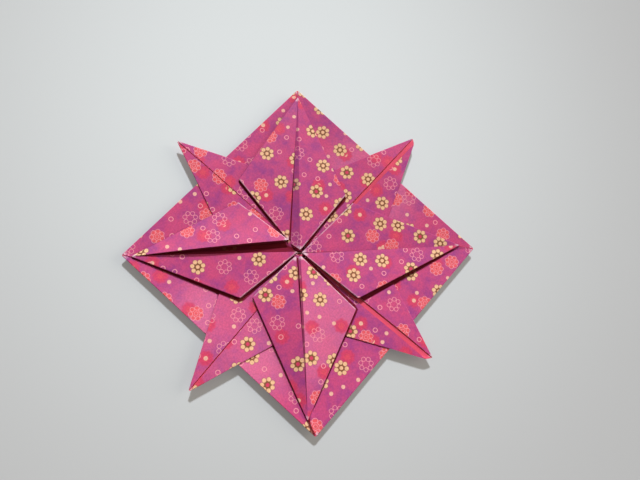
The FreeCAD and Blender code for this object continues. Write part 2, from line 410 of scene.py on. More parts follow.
# A fold: lower facet, its side; upper facet, its side; how far the bend bulges, and its
# distance to the fold with the pale line of wear and painted highlight, which is nothing on
# that fold itself.
Fold = namedtuple("Fold", "lower lower_side upper upper_side bulge worn", defaults=(NO_FOLD,))
FOLDS = (
    Fold("base", 1, "flap", 1, BEND),
    Fold("flap", 2, "petal_under", 2, BEND),
    Fold("petal_under", 1, "petal_top", 1, BEND),
    Fold("hem_layer", 1, "lining", 1, INNER_BEND),
    Fold("lining", 2, "petal_roll", 1, INNER_BEND),
    Fold("gusset_top", 0, "petal_under", 0, INNER_BEND),
    Fold("gusset_under", 0, "petal_top", 0, BEND, 0.0),
    Fold("gusset_under", 1, "gusset_top", 1, INNER_BEND),
    Fold("point_under", 2, "gusset_top", 2, POINT_BEND),
    Fold("point_top", 2, "gusset_under", 2, INNER_BEND),
    Fold("point_under", 1, "point_top", 1, INNER_BEND),
)


def across_axis(inner, shoulder):
    """A half petal's inner corner, or where its side cuts the axis if it overshoots."""
    if inner[0] > EDGE_AXIS:
        return inner
    share = -inner[0] / (shoulder[0] - inner[0])
    return between(inner, shoulder, share)


class Wedge:
    """One wedge of the star, between a petal's axis and its right-hand diagonal."""

    def __init__(self, half, tip_drift, point_tip, slit, pitch):
        self.half = half
        self.point_tip = point_tip
        self.slit = slit
        self.pitch = pitch
        self.shoulder = moved(SHOULDER, half.shoulder)
        self.tip = moved(CORNER, tip_drift)
        self.inner = across_axis(half.inner, self.shoulder)
        # The outline of what lies over the wedge, and how far its painted shade reaches past each
        # edge.
        self.outline = (
            (self.inner, self.shoulder, half.lee),
            (self.shoulder, self.tip, half.rim_lee),
        )

    def facets(self):
        """The wedge's facets by name, from the bottom up."""
        return {**self.base(), **self.short_point(), **self.gussets(), **self.half_petal()}

    def level(self, count):
        """The heights of a facet that lies level on this many layers."""
        return [count * self.pitch] * 3

    def petal_level(self, layer, spring=0.0):
        """A petal layer's heights at its inner end, its shoulder and its tip."""
        return [
            (OVER_GUSSETS + layer) * self.pitch + spring,
            (OVER_GUSSETS + layer) * self.pitch + self.half.lift,
            (OVER_FLAP + layer) * self.pitch,
        ]

    def base(self):
        """The diamond's base, and the flap that is folded in over it."""
        side_mark = towards(SIDE_MIDDLE, MIDDLE, BEND)
        corner_y = CORNER[1] - BEND * math.sqrt(2.0)
        flap = ((EDGE_AXIS, EDGE_AXIS), side_mark, (EDGE_AXIS, corner_y - EDGE_AXIS))
        shade = (self.outline, ((self.point_tip, ARMPIT, POINT_LEE),))
        return {
            "base": Facet((MIDDLE, side_mark, (0.0, corner_y)), self.level(0), cover=OPEN),
            "flap": Facet(flap, self.level(1), worn_points=(CORNER,), cover=shade),
        }

    def short_point(self):
        """The short point's under side and top."""
        length = distance(MIDDLE, self.point_tip)
        across = left_normal(MIDDLE, self.point_tip)
        shared = {"worn_points": (self.point_tip,), "cover": (self.outline,)}

        def along(reach, slit=0.0):
            return moved(towards(MIDDLE, self.point_tip, reach), scaled(across, slit))

        def armpit(nests):
            return inset_corner(self.point_tip, ARMPIT, MIDDLE, BEND, EDGE_AXIS + nests * NEST)

        under = (along(UNDER_START), along(length - UNDER_END), armpit(1))
        top_end = length - TOP_END - self.slit[1] * TIP_PULL
        top = (along(TOP_START, self.slit[0]), along(top_end, self.slit[1]), armpit(2))
        low = 3.0 * self.pitch
        return {
            "point_under": Facet(under, self.level(2), **shared),
            "point_top": Facet(top, [low, low + TOP_LIFT, low], (TOP_BOW, 0.0, 0.0), **shared),
        }

    def gussets(self):
        """The two gussets that join the short point to the petal."""
        corners = (self.inner, self.shoulder, ARMPIT)
        under = inset_triangle(corners, (BEND, BEND, EDGE_AXIS + 2 * NEST))
        top = inset_triangle(corners, (WRAPPED_BEND, BEND, EDGE_AXIS + NEST))
        return {
            "gusset_under": Facet(under, self.level(4)),
            "gusset_top": Facet(top, self.level(5)),
        }

    def half_petal(self):
        """The half petal's under side, hem, lining and top, and the edge it rolls in."""
        half, shoulder, tip = self.half, self.shoulder, self.tip

        # Its axis stays over the gussets as far as the armpit, and then comes down.
        reach = ARMPIT[1] / CORNER[1]
        descent = OVER_GUSSETS - OVER_FLAP
        axis_bow = descent * reach / (4.0 * reach * (1.0 - reach)) * self.pitch
        axis_foot = (0.0, min(self.inner[1], half.inner[1]))
        under = inset_triangle((axis_foot, shoulder, tip), (WRAPPED_BEND, BEND, EDGE_AXIS))

        hem_share = distance(HEM, CORNER) / distance(MIDDLE, CORNER)
        hem_level = OVER_FLAP + 1.0 + descent * hem_share
        hem_bow = 4.0 * axis_bow * hem_share * (1.0 - hem_share)
        hem_shoulder = inset_corner(HEM, shoulder, tip, WRAPPED_BEND, WRAPPED_BEND)
        hem = (HEM, hem_shoulder, towards(tip, HEM, HEM_END))
        hem_heights = self.petal_level(1)
        hem_heights[0] = hem_level * self.pitch + hem_bow

        bow = axis_bow + half.rise
        roll_bow = bow * ROLL_SHARE
        lining_insets = (WRAPPED_BEND, WRAPPED_BEND, INNER_BEND)
        lining = inset_triangle((half.foot, shoulder, tip), lining_insets)
        lining_heights = self.petal_level(2, half.spring - half.drop)
        top = inset_triangle((half.inner, shoulder, tip), (BEND, BEND, 0.0))
        heights = self.petal_level(3, half.spring)
        roll = (top[0], top[2], moved(half.foot, (INNER_BEND, 0.0)))
        roll_heights = [heights[0], heights[2], heights[0] - half.drop]
        worn = (half.inner, tip)
        return {
            "petal_under": Facet(under, self.petal_level(0), (0.0, 0.0, axis_bow)),
            "hem_layer": Facet(hem, hem_heights, (0.0, 0.0, axis_bow * hem_share * hem_share)),
            "lining": Facet(lining, lining_heights, (0.0, 0.0, roll_bow)),
            "petal_top": Facet(top, heights, (*EDGE_BOWS, bow), True, worn, OPEN),
            "petal_roll": Facet(roll, roll_heights, (bow, roll_bow, 0.0), False, worn, half.shade),
        }


# What a corner of a face carries: its point's index, its place on the flat sheet, its
# distances to the fold with the pale line and to two worn points, and how far it is tucked
# under other paper, which sets its painted shade.
Corner = namedtuple("Corner", "index flat gaps tuck")


class SheetMesh:
    """Collects the folded sheet's faces and what each of their corners carries."""

    def __init__(self, divisions, dish):
        self.divisions = divisions
        self.dish = dish
        self.points = []
        self.faces = []
        self.corners = []  # of every face in turn

    def add_point(self, x, y, z):
        self.points.append((x * MM, y * MM, (z + self.dish(x, y)) * MM))
        return len(self.points) - 1

    def add_face(self, corners, reverse):
        order = corners[::-1] if reverse else corners
        self.faces.append([corner.index for corner in order])
        self.corners.extend(order)

    def facet_corner(self, facet, flat, weights, place):
        """The corner of a facet's grid that lies at these shares of its three corners."""
        a, b, c = facet.corners
        wa, wb, wc = weights
        x = a[0] * wa + b[0] * wb + c[0] * wc
        y = a[1] * wa + b[1] * wb + c[1] * wc
        za, zb, zc = facet.heights
        bow_ab, bow_bc, bow_ca = facet.bows
        bows = bow_ab * wa * wb + bow_bc * wb * wc + bow_ca * wc * wa
        z = za * wa + zb * wb + zc * wc + 4.0 * bows
        gaps = [NO_FOLD, NO_FOLD, NO_FOLD]
        if facet.side_worn:
            gaps[0] = wc * height_over(c, a, b)
        for k, worn_point in enumerate(facet.worn_points, start=1):
            gaps[k] = distance((x, y), worn_point)
        index = self.add_point(*place((x, y)), z)
        tuck = tuck_of((x, y), facet.cover)
        return Corner(index, place(flat((x, y))), tuple(gaps), tuck)

    def add_facet(self, facet, crease, place, mirrored):
        """Adds a facet as a triangular grid and returns its three sides."""
        n = self.divisions
        grid = {}
        for i in range(n + 1):
            for j in range(n + 1 - i):
                wb, wc = i / n, j / n
                weights = (1.0 - wb - wc, wb, wc)
                grid[i, j] = self.facet_corner(facet, crease.flat, weights, place)
        reverse = mirrored == crease.print_up
        for i in range(n):
            for j in range(n - i):
                self.add_face([grid[i, j], grid[i + 1, j], grid[i, j + 1]], reverse)
                if i + j < n - 1:
                    self.add_face([grid[i + 1, j], grid[i + 1, j + 1], grid[i, j + 1]], reverse)
        side_ab = [grid[k, 0] for k in range(n + 1)]
        side_bc = [grid[n - k, k] for k in range(n + 1)]
        side_ca = [grid[0, n - k] for k in range(n + 1)]
        return side_ab, side_bc, side_ca

    def add_bend(self, lower, upper, fold, print_outside, mirrored):
        """Joins two facets' sides by a round bend that bulges away from them."""
        inwards = left_normal(self.points[lower[0].index], self.points[lower[-1].index])
        turn = 1.0 if mirrored else -1.0
        out = (*(side * turn * fold.bulge * MM for side in inwards), 0.0)
        gaps = (fold.worn, NO_FOLD, NO_FOLD)
        rows = [lower]
        for step in range(1, BEND_STEPS):
            angle = math.pi * (step / BEND_STEPS - 0.5)
            share = 0.5 + 0.5 * math.sin(angle)
            row = []
            for low, high in zip(lower, upper):
                ends = zip(self.points[low.index], self.points[high.index], out)
                point = [p + (q - p) * share + o * math.cos(angle) for p, q, o in ends]
                self.points.append(tuple(point))
                tuck = clamped(low.tuck) + (clamped(high.tuck) - clamped(low.tuck)) * share**3
                flat = between(low.flat, high.flat, share)
                row.append(Corner(len(self.points) - 1, flat, gaps, tuck))
            rows.append(row)
        rows.append(upper)
        reverse = mirrored == print_outside
        for row, following in zip(rows, rows[1:]):
            for k in range(len(row) - 1):
                corners = [row[k], row[k + 1], following[k + 1], following[k]]
                self.add_face(corners, reverse)


def tuck_of(point, cover):
    """How far a point is tucked under other paper, which sets its painted shade: up to 0 in the
    open, from 1 on inside.
    """
    if isinstance(cover, float):
        return cover
    tuck = -NO_FOLD
    for outline in cover:
        depths = []
        for start, end, lee in outline:
            normal = left_normal(start, end)
            away = offset_of(point, start)
            along = (away[0] * normal[1] - away[1] * normal[0]) / distance(start, end)
            depths.append(dot(away, normal) + lee[0] + (lee[1] - lee[0]) * along)
        tuck = max(tuck, min(depths) / TUCK_RAMP)
    return tuck


def height_over(apex, start, end):
    """The height of a triangle over one of its sides."""
    return abs(dot(offset_of(apex, start), left_normal(start, end)))


def placer(turns, mirrored):
    """The map from a wedge's frame to the star's, the same for folded and flat points."""

    def place(point):
        x, y = point
        if mirrored:
            x = -x
        for _ in range(turns):
            x, y = y, -x
        return (x, y)

    return place


def unplaced(point, turns, mirrored):
    """A point of the star as the wedge's own frame sees it."""
    x, y = point
    for _ in range(turns):
        x, y = -y, x
    return (-x, y) if mirrored else (x, y)


def mirrored_half(half):
    """A left half petal, in the mirrored frame in which it is folded."""
    flipped = {}
    for field in ("shoulder", "inner", "foot"):
        x, y = getattr(half, field)
        flipped[field] = (-x, y)
    return half._replace(**flipped)


def dish_of(rim_lift):
    """How far the star's curl lifts a plan point: nothing in the middle, all at the rim."""

    def dish(x, y):
        reach = (abs(x) + abs(y)) / HALF_WIDTH
        return rim_lift * clamped((reach - REST_SHARE) / (1.0 - REST_SHARE)) ** CURL_POWER

    return dish


def fold_sheet(paper):
    """Folds all eight wedges into one mesh object, before it has its thickness."""
    pitch = (paper.thickness + paper.layer_gap) / MM
    sheet = SheetMesh(paper.divisions, dish_of(paper.rim_lift / MM))
    for turns, petal in enumerate(PETALS):
        for mirrored in (True, False):
            half = mirrored_half(petal.left) if mirrored else petal.right
            tip_drift = (-petal.tip[0], petal.tip[1]) if mirrored else petal.tip
            point_turns = (turns - 1) % len(POINTS) if mirrored else turns
            point = POINTS[point_turns]
            slit = point.open_after if mirrored else point.open_before
            tip_in_star = moved(placer(point_turns, False)(POINT_TIP), point.drift)
            point_tip = unplaced(tip_in_star, turns, mirrored)
            facets = Wedge(half, tip_drift, point_tip, slit, pitch).facets()
            place = placer(turns, mirrored)
            sides = {}
            for name, crease in CREASES.items():
                sides[name] = sheet.add_facet(facets[name], crease, place, mirrored)
            for fold in FOLDS:
                lower = sides[fold.lower][fold.lower_side]
                upper = sides[fold.upper][fold.upper_side]
                outside = not CREASES[fold.lower].print_up
                sheet.add_bend(lower, upper, fold, outside, mirrored)
    return mesh_object("folded_paper", sheet)


def add_object(name, data):
    """Puts an object with this data into the scene."""
    added = bpy.data.objects.new(name, data)
    bpy.context.scene.collection.objects.link(added)
    return added


def mesh_object(name, sheet):
    """The sheet as an object, with what its corners carry as a UV map and attributes."""
    mesh = bpy.data.meshes.new(name)
    mesh.from_pydata(sheet.points, [], sheet.faces)
    uv = mesh.uv_layers.new(name="flat_sheet")
    places = [value / SHEET_SIDE + 0.5 for corner in sheet.corners for value in corner.flat]
    uv.data.foreach_set("uv", places)
    gap = mesh.attributes.new("fold_gap", "FLOAT_VECTOR", "CORNER")
    gap.data.foreach_set("vector", [value for corner in sheet.corners for value in corner.gaps])
    tuck = mesh.attributes.new("tuck", "FLOAT", "CORNER")
    tuck.data.foreach_set("value", [corner.tuck for corner in sheet.corners])
    mesh.update()
    return add_object(name, mesh)


# --- Node helpers


class Tree:
    """A node tree, with one method that adds every kind of node."""

    def __init__(self, tree):
        self.nodes = tree.nodes
        self.links = tree.links

    def connect(self, socket, value):
        """Links an input to what a node gives, or sets it to a plain value."""
        if isinstance(value, Value):
            value = value.socket
        if isinstance(value, bpy.types.Node):
            value = value.outputs[0]
        if isinstance(value, bpy.types.NodeSocket):
            self.links.new(value, socket)
        else:
            socket.default_value = value

    def node(self, kind, sockets=None, **settings):
        """Adds a node, makes its settings first, then fills or links its input sockets."""
        node = self.nodes.new(kind)
        for name, setting in settings.items():
            setattr(node, name, setting)
        for key, value in (sockets or {}).items():
            self.connect(node.inputs[key], value)
        return node

    def value(self, node, output=0):
        return Value(self, node.outputs[output])

    def vector_math(self, operation, sockets):
        return self.node("ShaderNodeVectorMath", sockets, operation=operation)

    def parts(self, vector):
        """The three numbers of a vector."""
        node = self.node("ShaderNodeSeparateXYZ", {0: vector})
        return [self.value(node, axis) for axis in "XYZ"]


def math_method(operation, reflected=False):
    """A method for one of the usual operators, which adds a Math node."""

    def method(self, other):
        numbers = (other, self) if reflected else (self, other)
        return self.result(operation, *numbers)

    return method


class Value:
    """A number in a node tree: the usual operators on it add Math nodes."""

    __add__ = math_method("ADD")
    __radd__ = math_method("ADD", reflected=True)
    __sub__ = math_method("SUBTRACT")
    __rsub__ = math_method("SUBTRACT", reflected=True)
    __mul__ = math_method("MULTIPLY")
    __rmul__ = math_method("MULTIPLY", reflected=True)
    __truediv__ = math_method("DIVIDE")
    __rtruediv__ = math_method("DIVIDE", reflected=True)
    __gt__ = math_method("GREATER_THAN")
    __lt__ = math_method("LESS_THAN")

    def __init__(self, tree, socket):
        self.tree = tree
        self.socket = socket

    def result(self, operation, *numbers):
        """What a Math node makes of these numbers."""
        sockets = dict(enumerate(numbers))
        return self.tree.value(self.tree.node("ShaderNodeMath", sockets, operation=operation))

    def math(self, operation, *others):
        return self.result(operation, self, *others)

    def within(self, low, high):
        """1 between two numbers, 0 elsewhere."""
        return (self > low) * (self < high)

    def fade(self, start, end):
        """0 at start, 1 at end, smooth between them; start may be the larger."""
        sockets = {"Value": self, "From Min": start, "From Max": end, "To Min": 0.0, "To Max": 1.0}
        node = self.tree.node("ShaderNodeMapRange", sockets, interpolation_type="SMOOTHSTEP")
        return self.tree.value(node, "Result")


def hypotenuse(first, second):
    return (first * first + second * second).math("SQRT")


class Shader(Tree):
    """One material's node tree, and the colour that is laid in it coat by coat."""

    def __init__(self, name, colour):
        self.material = bpy.data.materials.new(name)
        self.material.use_nodes = True
        super().__init__(self.material.node_tree)
        self.bsdf = self.nodes["Principled BSDF"]
        self.colour = colour

    def attribute(self, name):
        """What the sheet's corners carry under this name."""
        return self.node("ShaderNodeAttribute", attribute_type="GEOMETRY", attribute_name=name)

    def flat_position(self):
        """The place on the flat sheet, in millimetres."""
        uv = self.node("ShaderNodeUVMap", uv_map="flat_sheet")
        return self.vector_math("SCALE", {0: uv, "Scale": SHEET_SIDE}).outputs["Vector"]

    def turned(self, vector, angle, shift):
        """A vector turned by an angle in the plane, then shifted."""
        sockets = {"Vector": vector, "Location": (*shift, 0.0), "Rotation": (0.0, 0.0, angle)}
        return self.node("ShaderNodeMapping", sockets).outputs["Vector"]

    def noise(self, vector, size, detail=2.0, roughness=0.5):
        """Soft random waves of this length."""
        sockets = {"Vector": vector, "Scale": 1.0 / size, "Detail": detail, "Roughness": roughness}
        return self.value(self.node("ShaderNodeTexNoise", sockets, noise_dimensions="2D"), "Fac")

    def scatter(self, vector, size, jitter):
        """Centres scattered about this far apart, which is the unit of their Distance."""
        sockets = {"Vector": vector, "Scale": 1.0 / size, "Randomness": jitter}
        return self.node("ShaderNodeTexVoronoi", sockets, voronoi_dimensions="2D")

    def cells(self, vector, size, jitter):
        """The offset from the nearest scattered centre, its place and its random numbers."""
        cell = self.scatter(vector, size, jitter)
        place = cell.outputs["Position"]
        offset = self.vector_math("SUBTRACT", {0: vector, 1: place}).outputs["Vector"]
        random = self.node("ShaderNodeSeparateColor", {0: cell.outputs["Color"]})
        return offset, place, [self.value(random, channel) for channel in range(3)]

    def mix(self, factor, first, second):
        """Two colours mixed by a factor."""
        sockets = {0: factor}
        for key, colour in ((6, first), (7, second)):
            linked = isinstance(colour, bpy.types.NodeSocket)
            sockets[key] = colour if linked else (*colour, 1.0)
        return self.node("ShaderNodeMix", sockets, data_type="RGBA").outputs[2]

    def lay(self, factor, colour):
        """Lays a coat of colour over what is there, as thick as the factor says."""
        self.colour = self.mix(factor, self.colour, colour)

    def scaled(self, colour, shares):
        """A colour with each channel multiplied by its own number."""
        return self.vector_math("MULTIPLY", {0: colour, 1: shares}).outputs["Vector"]

    def set(self, socket, value):
        self.connect(self.bsdf.inputs[socket], value)


# --- Materials

# Lengths are in millimetres on the flat sheet. Noise is given by its size, detail and
# roughness, and a coat by its strength from 0 to 1. A kind's limits are those of the
# random number that each motif has from 0 to 1.
FLOWER_SPACING, FLOWER_JITTER = 6.6, 0.55
FLOWER_PETALS = 7
PETAL_REACH, PETAL_RADIUS = 1.30, 0.50
ROSETTE_RADIUS = 1.62
EYE_RADIUS, CENTRE_RADIUS = 1.10, 0.44
ROSETTES, OUTLINED, DAISIES = (0.08, 0.34), (0.34, 0.56), 0.59
FLOWER_REACH = 2.1  # nearer than this, a flower hides the dots of the blossoms
FLOWER_CLEARANCE = 2.75  # from a flower's centre to the nearest dot's or ring's centre

BLOSSOM_SPACING, BLOSSOM_JITTER = 9.5, 0.75
BLOSSOM_LOBES = 8
BLOSSOM_RIM, BLOSSOM_CORE = (2.35, 1.55), (1.25, 0.75)  # each fades in between these radii
BLOSSOMS, DOTTED_BLOSSOMS = 0.25, 0.62

DOT_SPACING, DOT_JITTER = 3.9, 0.6
DOT_SHIFT = (2.6, 1.3)
DOT_RADIUS, RING_RADIUS = 0.48, 0.52
DOTS, RINGS = 0.42, (0.42, 0.85)

# The turn and the shift that keep each pattern's field apart from the others.
FLOWER_FIELD = (0.42, (9.0, 3.0))
BLOSSOM_FIELD = (0.9, (4.0, 17.0))
ROSE_FIELD = (0.7, (31.0, 12.0))

# Painted light: pale patches that lighten the facets which catch more light and sheen.
Patch = namedtuple("Patch", "place reach strength")
PAINTED_LIGHT_PATCHES = (
    Patch((96.0, 17.0), 20.0, 0.42),
    Patch((50.0, 48.0), 23.0, 0.50),
    Patch((17.0, 15.0), 30.0, 0.24),
    Patch((101.0, 101.0), 18.0, 0.36),
)
PAINTED_LIGHT_CORE = 0.4  # share of a patch's reach that is lightened evenly

# Painted shade: what the paper's colours turn to in light shade and in deep shade, where
# it is tucked in or lies beside a raised edge; and the colour where the ink lies thick.
DUSK_SHADE = ink(96, 40, 112)
DEEP_SHADE = ink(112, 0, 16)
THICK_INK = (0.02, 0.0, 0.012)


class Polar:
    """A motif's own coordinates: the radius, and the angle from its nearest petal's axis."""

    def __init__(self, shader, offset, spin, petals):
        x, y, _ = shader.parts(offset)
        self.radius = hypotenuse(x, y)
        sector = 2.0 * math.pi / petals
        angle = y.math("ARCTAN2", x) + spin * (2.0 * math.pi)
        self.angle = angle.math("FLOORED_MODULO", sector) - sector / 2.0

    def petal_distance(self, reach):
        """Distance to the centre of the nearest petal, which lies at this reach."""
        along = self.radius * self.angle.math("COSINE") - reach
        across = self.radius * self.angle.math("SINE")
        return hypotenuse(along, across)


def disc(away, radius, soft=0.07):
    """1 within a radius, 0 outside it, with a soft rim."""
    return away.fade(radius + soft, radius - soft)


def ring(away, radius, width, soft=0.05):
    """1 on a line of this width at a radius, 0 elsewhere, with soft rims."""
    return (away - radius).math("ABSOLUTE").fade(width / 2.0 + soft, width / 2.0 - soft)


def lay_ground(shader, place, settings):
    """A mottled magenta ground with pale patches of painted light."""
    mottle = shader.noise(place, 5.0, 3.0, 0.75)
    warm = shader.noise(shader.turned(place, *ROSE_FIELD), 9.0, 4.0, 0.7)
    shader.lay(mottle.fade(0.30, 0.80) * 0.9, settings.violet)
    shader.lay(warm.fade(0.40, 0.80) * 0.8, settings.rose)
    # Painted light and sheen: pale patches over the facets that catch more light.
    for patch in PAINTED_LIGHT_PATCHES:
        centre = (*patch.place, 0.0)
        away = shader.value(shader.vector_math("DISTANCE", {0: place, 1: centre}), "Value")
        painted_light = away.fade(patch.reach, patch.reach * PAINTED_LIGHT_CORE) * patch.strength
        shader.lay(painted_light, settings.painted_light)


def lay_blossoms(shader, place, settings):
    """Soft blossoms under everything else; returns the dots in the middle of some."""
    field = shader.turned(place, *BLOSSOM_FIELD)
    offset, _, random = shader.cells(field, BLOSSOM_SPACING, BLOSSOM_JITTER)
    polar = Polar(shader, offset, random[1], BLOSSOM_LOBES)
    lobes = (polar.angle * BLOSSOM_LOBES).math("COSINE")
    blur = polar.radius + shader.noise(place, 0.9) * 0.5 - lobes * 0.10
    is_there = random[0] > BLOSSOMS
    shader.lay(blur.fade(*BLOSSOM_RIM) * is_there * 0.85, settings.blossom)
    shader.lay(blur.fade(*BLOSSOM_CORE) * is_there * 0.35, settings.salmon)
    return disc(polar.radius, 0.50) * (random[0] > DOTTED_BLOSSOMS)


def lay_flowers(shader, field, blossom_dots, settings):
    """Daisies, outlined flowers and filled rosettes, with the blossoms' dots beside them."""
    offset, _, random = shader.cells(field, FLOWER_SPACING, FLOWER_JITTER)
    polar = Polar(shader, offset, random[1], FLOWER_PETALS)
    petal = polar.petal_distance(PETAL_REACH)
    kind = random[0]
    is_rosette = kind.within(*ROSETTES)
    is_outlined = kind.within(*OUTLINED)
    is_daisy = kind > DAISIES
    shader.lay(disc(polar.radius, ROSETTE_RADIUS, 0.12) * is_rosette * 0.85, settings.salmon)
    outline = ring(petal, PETAL_RADIUS, 0.15) * (is_rosette + is_outlined)
    shader.lay(outline * 0.85, settings.pale)
    shader.lay(ring(polar.radius, 0.42, 0.16) * is_rosette * 0.7, settings.pale)
    shader.lay(disc(petal, 0.62, 0.10) * is_daisy * 0.5, settings.olive)
    shader.lay(disc(polar.radius, EYE_RADIUS, 0.12) * is_daisy * 0.9, settings.olive)
    shader.lay(disc(petal, PETAL_RADIUS, 0.08) * is_daisy, settings.cream)
    centre = disc(polar.radius, CENTRE_RADIUS, 0.10) * is_daisy
    shader.lay(centre, settings.blossom)
    shader.lay(centre * (random[2] > 0.35), settings.cream)
    shader.lay(blossom_dots * (polar.radius > FLOWER_REACH), settings.dot)


def lay_dots(shader, field, settings):
    """Dots and rings in the room between the flowers."""
    shifted = shader.turned(field, 0.0, DOT_SHIFT)
    offset, centre, random = shader.cells(shifted, DOT_SPACING, DOT_JITTER)
    home = shader.turned(centre, 0.0, scaled(DOT_SHIFT, -1.0))
    flowers = shader.scatter(home, FLOWER_SPACING, FLOWER_JITTER)
    clear = shader.value(flowers, "Distance") > FLOWER_CLEARANCE / FLOWER_SPACING
    x, y, _ = shader.parts(offset)
    radius = hypotenuse(x, y)
    kind = random[0]
    shader.lay(disc(radius, DOT_RADIUS) * (clear * (kind < DOTS)), settings.dot)
    is_ring = clear * kind.within(*RINGS)
    shader.lay(ring(radius, RING_RADIUS, 0.20) * is_ring, settings.pale)


def printed_side(settings):
    """The printed side: a mottled magenta ground with scattered daisies, rings and dots."""
    shader = Shader("printed_side", settings.ground)
    place = shader.flat_position()
    field = shader.turned(place, *FLOWER_FIELD)
    lay_ground(shader, place, settings)
    blossom_dots = lay_blossoms(shader, place, settings)
    lay_flowers(shader, field, blossom_dots, settings)
    lay_dots(shader, field, settings)

    # Pale lines along the folds, partly thinned ink and partly painted highlight, rubbed point
    # ends, and the grain of the paper in the print.
    line, rubbed = fold_wear_and_highlight(shader, place, 0.24, 0.36)
    shader.lay((line * 0.55).math("MAXIMUM", rubbed * 0.9), settings.core)
    grain = shader.noise(place, 0.45, 2.0, 0.7)
    shader.lay(0.55, shader.mix((grain - 0.5) * 0.9 + 0.18, shader.colour, THICK_INK))
    finish_paper(shader, place, 0.58)
    return shader.material


def fold_wear_and_highlight(shader, place, width, start):
    """Thin broken pale lines along folds, part rubbed ink and part painted highlight, and the
    rubbed ends of the points.
    """
    gaps = shader.attribute("fold_gap").outputs["Vector"]
    side_gap, first_gap, second_gap = shader.parts(gaps)
    patchy = shader.noise(place, 2.6, 4.0, 0.65)
    line = side_gap.fade(width, 0.0) * patchy.fade(start, start + 0.14)
    rubbed = (first_gap.math("MINIMUM", second_gap) + patchy * 2.0).fade(2.6, 1.5)
    return line, rubbed


def finish_paper(shader, place, roughness):
    """What both sides share: painted shade where the paper is tucked in or beside a raised edge,
    fibre and sheen.
    """
    tuck = shader.value(shader.attribute("tuck"), "Fac")
    # Painted shade: the colour darkens to a dusky violet, then to deep red, under and beside the
    # petals.
    shader.lay(tuck.fade(0.0, 0.4) * 0.3, DUSK_SHADE)
    shader.lay(tuck.fade(0.3, 1.0) * 0.92, DEEP_SHADE)
    shader.set("Base Color", shader.colour)
    fibre = shader.noise(place, 0.35, 3.0, 0.7)
    smudge = shader.noise(place, 12.0)
    rough = smudge * 0.12 + fibre * 0.08 + (roughness - 0.10)
    shader.set("Roughness", rough + tuck.fade(0.0, 1.0) * (1.0 - roughness))
    shader.set("Specular IOR Level", 0.30)
    relief = {"Strength": 0.18, "Distance": 0.05 * MM, "Height": fibre}
    shader.set("Normal", shader.node("ShaderNodeBump", relief).outputs["Normal"])


def reverse_side(settings):
    """The sheet's plain coloured reverse."""
    shader = Shader("reverse_side", settings.reverse)
    place = shader.flat_position()
    cloud = shader.noise(place, 7.0, 3.0, 0.6)
    shader.lay(cloud.fade(0.3, 0.7) * 0.5, [channel * 0.8 for channel in settings.reverse])
    # Pale fold lines, partly wear and partly painted highlight, and rubbed point ends.
    line, rubbed = fold_wear_and_highlight(shader, place, 0.14, 0.40)
    shader.lay(line.math("MAXIMUM", rubbed) * 0.5, settings.core)
    finish_paper(shader, place, 0.66)
    return shader.material


def raw_edge(settings):
    """The cut edge, where the paper's pale core shows between its two coloured sides."""
    shader = Shader("raw_edge", settings.core)
    cloud = shader.noise(shader.flat_position(), 1.4, 3.0, 0.6)
    tinted = [(a + b) / 2.0 for a, b in zip(settings.core, settings.reverse)]
    shader.lay(cloud.fade(0.35, 0.65), tinted)
    shader.set("Base Color", shader.colour)
    shader.set("Roughness", cloud * 0.1 + 0.7)
    return shader.material


# --- The paper's body, as Geometry Nodes

FACET_WELD = 0.002 * MM  # facets that share an edge are welded over this distance
SIDE_WELD = 0.0001 * MM  # the front and the back over this one
COCKLE_SEED = 3.0
CRISP_ANGLE = math.radians(9.0)  # edges that bend more than this don't shade smoothly


